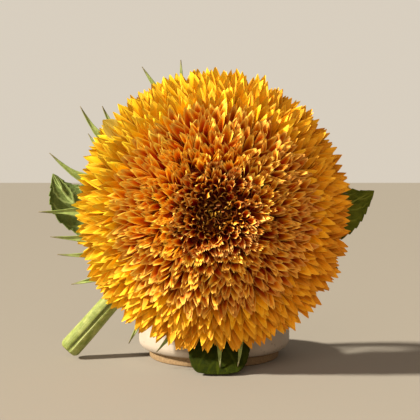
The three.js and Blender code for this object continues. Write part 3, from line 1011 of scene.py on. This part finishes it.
# %% The stem
STEM_ROUTE = [(-82.8, -11, 4.7), (-70.8, -8.5, 18), (-59, -6, 31.3), (-41, -2, 50), (-24, 1, 65.5),
              (-8.5, -3.5, 78.5), (0.4, -13.5, 82.9), (1, -22.9, 83.6)]
STEM_SIDES = 56
CUT_MAP = (0.01, 0.01, 0.98, 0.09)
SKIN_MAP = (0.01, 0.1, 0.98, 0.88)
TOP_MAP = (0.01, 0.985, 0.98, 0.01)


def carried_frames(line, s):
    """Two directions across the line that never spin round it."""
    ahead = line.direction(s)
    across = [unit(np.cross(ahead[0], [0, -1, 0.0]))]
    for direction in ahead[1:]:
        turned_on = across[-1] - direction * np.dot(across[-1], direction)
        across.append(unit(turned_on))
    across = np.array(across)
    return across, np.cross(ahead, across)


stem_line = Line(STEM_ROUTE)
s = np.linspace(0, 1, 110)
side_a, side_b = carried_frames(stem_line, s)
turn = np.arange(STEM_SIDES) * 2 * math.pi / STEM_SIDES
front = np.arctan2(np.sin(turn + math.pi / 2), np.cos(turn + math.pi / 2))
waist = 6.1 - 0.8 * smoothstep(s, 0, 0.4) + 3.1 * smoothstep(s, 0.6, 1)
foot_round = 1 - 0.25 * (1 - np.clip(s / 0.02, 0, 1)) ** 2
# Down the stem, s is a column, so that each relief is a function of the place along and the angle.
s = s[:, None]
ribs = 0.16 * np.cos(8 * turn) + 0.07 * np.cos(23 * turn + 1.0) * np.cos(9 * s)
furrow = -0.85 * np.exp(-(((front - 0.15 * np.sin(4 * s)) / 0.2) ** 2)) * (1 - smoothstep(s, 0.45, 0.7))
ridge = 0.35 * np.exp(-(((front - 0.42) / 0.16) ** 2)) * (1 - smoothstep(s, 0.4, 0.7))
scar = 0.9 * np.exp(-(((s - 0.2) / 0.008) ** 2)) * np.exp(-(((front + 1.15) / 0.14) ** 2))
radius = ((waist * foot_round)[:, None] * 0.97 + ribs + furrow + ridge + scar) * MM
ring = side_a[:, None, :] * np.cos(turn)[:, None] + side_b[:, None, :] * np.sin(turn)[:, None]


def rings_at(place, end, shares):
    """Rings that close the stem at its first or its last ring."""
    shrinking = np.array(shares)[:, None, None]
    middle = stem_line.at(np.full(len(shares), place))[:, None, :]
    return middle + ring[end, None] * radius[end, None, :, None] * shrinking


skin_points = stem_line.at(s[:, 0])[:, None, :] + ring * radius[..., None]
dished = (np.array([1.1, 0.9, 0.5, 0.15, 0]) * MM)[:, None, None]
cut = rings_at(0.0, 0, [0.0, 0.15, 0.5, 0.82, 1.0]) + stem_line.direction(np.zeros(1))[0] * dished
top = rings_at(1.0, -1, [1.0, 0.0])
stem_grids = [(cut, CUT_MAP), (skin_points, SKIN_MAP), (top, TOP_MAP)]


def stem_veins(tree):
    map_u, map_v = tree.own_map()
    stripe = tree.noise(tree.vector(map_u * 34, map_v * 3, 0.0), 1.0, 3.0)
    return tree.rise(stripe, 0.5, 0.75) * 0.7


def furrow_shade_freckles_and_pith(tree, colour):
    map_u, map_v = tree.own_map()
    # Painted shade: the stem is painted darker along its furrow, as shade in the crease.
    shaded_furrow = tree.rise(abs(map_u - 0.745), 0.01, 0.035, 0.55, 0.0)
    colour = tree.blend(shaded_furrow, colour, (0.08, 0.11, 0.02))
    freckle = tree.rise(tree.noise(tree.place(), 1900.0, 1.0), 0.62, 0.72)
    colour = tree.blend(freckle * 0.5, colour, (0.12, 0.11, 0.03))
    pith = tree.ramp(map_v, [(0.02, (0.62, 0.60, 0.40)), (0.07, (0.46, 0.46, 0.22)),
                             (0.1, (0.16, 0.13, 0.05))])
    cell = tree.node("ShaderNodeTexVoronoi", tree.place(), named={"Scale": 1500.0})
    pith = tree.blend(cell * 0.5, pith, (0.30, 0.25, 0.12))
    return tree.blend(tree.rise(map_v, 0.098, 0.104), pith, colour)


stem_finish = green_material("stem_skin", (0.19, 0.24, 0.035), (0.36, 0.40, 0.10), (0.55, 0.58, 0.24),
                             stem_veins, furrow_shade_freckles_and_pith, relief=0.3, scale=260.0)
stem_piece = grid_mesh("stem_ribbed", stem_grids, stem_finish, wrap=True)

# %% [markdown]
# The stem's hairs are short, stiff and nearly white. Geometry nodes scatter points over the stem's
# own skin and set a thin three-sided spike on each, leaning off the surface.

# %% Hairs on the stem
HAIR_RADIUS = 0.09 * MM
HAIR_DENSITY = 260000.0
hairs, given, result = new_group("skin_hairs", "GeometryNodeTree", [
    ("Skin", "Object", None), ("Density", "Float", 100000.0), ("Hair Length", "Float", 0.9 * MM),
    ("Seed", "Int", 3), ("Finish", "Material", None)
], [("Geometry", "Geometry")])
skin_mesh = hairs.node("GeometryNodeObjectInfo", given["Skin"], out=4)
scattered = hairs.node("GeometryNodeDistributePointsOnFaces",
                       named={"Mesh": skin_mesh, "Density": given["Density"], "Seed": given["Seed"]})
facing_out = Field(hairs, scattered.socket.node.outputs["Rotation"])
spike = hairs.node("GeometryNodeMeshCone",
                   named={"Vertices": 3, "Radius Bottom": HAIR_RADIUS, "Depth": 1.0})
slant = hairs.node("FunctionNodeRandomValue", (-0.5, -0.5, 0.0), (0.5, 0.5, 6.0),
                   data_type="FLOAT_VECTOR")
turned_out = hairs.node("FunctionNodeRotateEuler", facing_out, slant, rotation_type="EULER",
                        space="LOCAL")
stretch = hairs.node("FunctionNodeRandomValue", 0.4, 1.0, out=1) * given["Hair Length"]
spikes = hairs.node("GeometryNodeInstanceOnPoints", named={
    "Points": scattered, "Instance": spike, "Rotation": turned_out,
    "Scale": hairs.vector(1.0, 1.0, stretch)})
spikes = hairs.node("GeometryNodeRealizeInstances", spikes)
spikes = hairs.node("GeometryNodeSetMaterial", named={"Geometry": spikes, "Material": given["Finish"]})
hairs.put(result["Geometry"], spikes)

hair_finish, tree, shader = new_material("stem_hair", 0.6)
grain = tree.noise(tree.place(), 700.0)
straw = tree.ramp(grain, [(0.3, (0.42, 0.42, 0.24)), (0.7, (0.70, 0.68, 0.50))])
tree.put(shader.inputs["Base Color"], straw)
run_shape("stem_hairs", hairs.tree, hair_finish, Matrix.Identity(4), Skin=stem_piece,
          Density=HAIR_DENSITY, Seed=3)

# %% [markdown]
# Behind the rays sits the green cup that carries the whole bloom. It runs into the stem at its neck,
# and rows of small pointed scales overlap on it like shingles, a golden angle apart again.

# %% The cup
CUP = [(0, -18), (9, -18), (13, -16.4), (22.4, -13.6), (29.9, -9.4), (34, -6.2), (33, -5.4), (0, -5.4)]


def veined(radius, height, angle):
    return radius * (1 + 0.012 * np.cos(19 * angle)), height + 0.15 * MM * np.cos(31 * angle)


cup_finish = green_material("cup_green", (0.14, 0.19, 0.05), (0.27, 0.33, 0.11), (0.4, 0.45, 0.2),
                            sheen=0.15, relief=0.5)
cup_points = stood_up(turned(rounded(CUP, 5), 96, veined))
grid_mesh("green_cup", [(cup_points, WHOLE_MAP)], cup_finish, wrap=True)

# %% Scales on the cup
SCALES = 96
SKIN_HEIGHTS = [(9, -18), (13, -16.9), (22.4, -14.4), (29.9, -10.4), (34, -7.6), (46, -6.6), (56, -5.6)]
scales, given, result = new_group("cup_scales", "GeometryNodeTree", [
    ("Count", "Int", SCALES), ("Inner Radius", "Float", 12 * MM),
    ("Outer Radius", "Float", 35 * MM), ("Scale Length", "Float", 17 * MM),
    ("Half Width", "Float", 4.6 * MM), ("Seed", "Int", 5), ("Finish", "Material", None)
], [("Geometry", "Geometry")])
grids, number, grid_x, grid_y = grids_on_points(scales, given["Count"], 0.0, 5, 7)
t = grid_y + 0.5
share = (number + 0.5) / given["Count"]
foot = given["Inner Radius"] + share**0.6 * (given["Outer Radius"] - given["Inner Radius"])
angle = number * GOLDEN_ANGLE + scales.chance(number, given["Seed"]) * 0.12
radius = foot + t * given["Scale Length"] * (scales.chance(number, given["Seed"] + 1) * 0.15 + 1)
half = given["Half Width"] * (1 - t**1.7) * (0.75 + t * 0.5)
slide = grid_x * 2 * half
skin_height = scales.curve(radius, [(place * MM, height * MM) for place, height in SKIN_HEIGHTS])
lift = 0 - t * (1.2 - share) * 1.6 * MM - abs(grid_x) * 0.8 * MM - 0.3 * MM
rib = cos(grid_x * 12.56) * 0.12 * MM
place = scales.vector(
    radius * cos(angle) - slide * sin(angle),
    radius * sin(angle) + slide * cos(angle),
    skin_height + lift + rib,
)
map_place = scales.vector(grid_x * 0.94 + 0.5, t * 0.94 + 0.03, 0.0)
finish_grids(scales, grids, place, map_place, given["Finish"], result, flipped=True)


def scale_veins(tree):
    map_u, map_v = tree.own_map()
    lines = abs(sin((map_u - 0.5) * 22))
    return tree.rise(lines, 0.0, 0.5, 0.7, 0.0) * tree.rise(map_v, 0.3, 1.0, 1.0, 0.4)


scale_finish = green_material("cup_scale_green", (0.11, 0.17, 0.04), (0.20, 0.28, 0.08),
                              (0.36, 0.42, 0.18), scale_veins, sheen=0.15)
run_shape("cup_scales", scales.tree, scale_finish, Count=SCALES, Seed=5)

# %% [markdown]
# The dish is thrown stoneware: a rounded wall on a narrower foot ring, a rolled rim, and a matt
# off-white glaze that stops above the bare brown foot. Faint rings run round it from the throwing,
# and iron specks show through the glaze.

# %% The dish
_, dish_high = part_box("dish")
DISH_RADIUS = dish_high.x / MM
DISH_HEIGHT = dish_high.z / MM
FOOT_RADIUS = 37.4
FOOT_HEIGHT = 5
WALL = 5
RING_DEPTH = 0.07 * MM
WOBBLE = 0.10 * MM
SHRINK = 0.25 * MM


def arc(x, z, size, start, end, steps=10):
    turns = np.radians(np.linspace(start, end, steps))
    return [(x + size * math.cos(a), z + size * math.sin(a)) for a in turns]


inside = DISH_RADIUS - WALL
dish_profile = [
    (0, 1.2),
    (FOOT_RADIUS - 7, 1.2),
    *arc(FOOT_RADIUS - 6, 1.0, 1.0, 180, 270, 4),
    *arc(FOOT_RADIUS - 1.2, 1.2, 1.2, 270, 360, 5),
    *[(FOOT_RADIUS, z) for z in np.linspace(1.6, FOOT_HEIGHT - 0.4, 5)],
    *arc(DISH_RADIUS - 5.5, FOOT_HEIGHT + 5.5, 5.5, -78, 0, 12),
    *[(DISH_RADIUS, z) for z in np.linspace(FOOT_HEIGHT + 6.2, DISH_HEIGHT - 3, 9)],
    *arc(DISH_RADIUS - WALL / 2, DISH_HEIGHT - WALL / 2, WALL / 2, 0, 180, 12),
    *[(inside, z) for z in np.linspace(DISH_HEIGHT - 3.2, 15.5, 6)],
    *arc(inside - 7, 15, 7, 0, -90, 10),
    *[(x, 8) for x in np.linspace(inside - 8, 0, 10)],
]


def thrown(radius, height, angle):
    rings = RING_DEPTH * np.sin(height / MM * 4.1 + 0.5 * np.sin(angle))
    wobble = WOBBLE * np.sin(2 * angle + 1)
    side = smoothstep(radius, 20 * MM, 30 * MM)
    return radius + side * (rings + wobble - SHRINK), height


dish_finish, tree, shader = new_material("stoneware", 0.6)
place = tree.place()
_, _, height = tree.parts(place)
cloud = tree.noise(place, 45.0, 4.0)
sand = tree.noise(place, 900.0, 3.0)
specks = tree.node("ShaderNodeTexVoronoi", place, named={"Scale": 420.0})
speck = tree.rise(specks, 0.13, 0.2, 0.8, 0.0) * tree.rise(tree.noise(place, 210.0, 1.0), 0.5, 0.62)
glaze = tree.ramp(cloud, [(0.3, (0.42, 0.34, 0.26)), (0.7, (0.53, 0.45, 0.365))])
clay = tree.ramp(sand, [(0.3, (0.20, 0.12, 0.052)), (0.7, (0.33, 0.21, 0.10))])
edge = tree.rise(height + (cloud - 0.5) * 1.6 * MM, 5.3 * MM, 6.1 * MM)
colour = tree.blend(edge, clay, tree.blend(speck, glaze, (0.12, 0.07, 0.04)))
dress(tree, shader, sand * 0.4 + edge * 0.6 + cloud, 0.25, Base_Color=colour,
      Roughness=0.75 - edge * 0.3 + sand * 0.1)
grid_mesh("thrown_dish", [(turned(dish_profile, 144, thrown), WHOLE_MAP)], dish_finish, wrap=True)

# %% [markdown]
# A plain, matt, warm grey table fills the foreground and runs back to the horizon. It belongs to the
# studio and not to the object.

# %% Floor
floor = place_in_scene("floor", bpy.data.meshes.new("floor"))
shape = bmesh.new()
bmesh.ops.create_grid(shape, x_segments=1, y_segments=1, size=4)
shape.to_mesh(floor.data)
shape.free()
material, tree, shader = new_material("floor", 0.8)
shader.inputs["Base Color"].default_value = (0.345, 0.310, 0.264, 1)
shader.inputs["Specular IOR Level"].default_value = 0.1
floor.data.materials.append(material)
print("floor:", len(floor.data.polygons), "face")

# %% [markdown]
# Nothing on a cut flower turns or slides, so every piece rides on the one body. Each node of the frame
# is replaced by the piece that stands for it. The table also lists a slot for each piece, shared by
# pieces of one look, which is not given to it here.

# %% Bodies
STANDS_FOR = {
    "ray_petals": (["bloom_rays"], "ray_petal"),
    "channelled_florets": (["bloom_florets"], "floret"),
    "tube_florets": ([], "floret"),
    "floret_bed": ([], "floret"),
    "pale_back_petal": ([], "ray_petal"),
    "eye_buds": (["bloom_eye"], "eye_bud"),
    "leaf_left_blade": (["leaf_left"], "leaf_green"),
    "leaf_right_blade": (["leaf_right"], "leaf_green"),
    "leaf_bottom_blade": (["leaf_bottom"], "leaf_green"),
    "bracts": (BRACT_NODES, "bract_green"),
    "cup_scales": ([], "bract_green"),
    "green_cup": (["receptacle"], "stem_green"),
    "stem_ribbed": (["stem"], "stem_green"),
    "stem_hairs": ([], "stem_green"),
    "thrown_dish": (["dish"], "dish_ceramic"),
}
for name, (nodes, slot) in STANDS_FOR.items():
    piece = bpy.data.objects[name]
    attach(piece, "root")
    if nodes:
        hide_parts(*nodes)
print(len(STANDS_FOR), "pieces on one body")
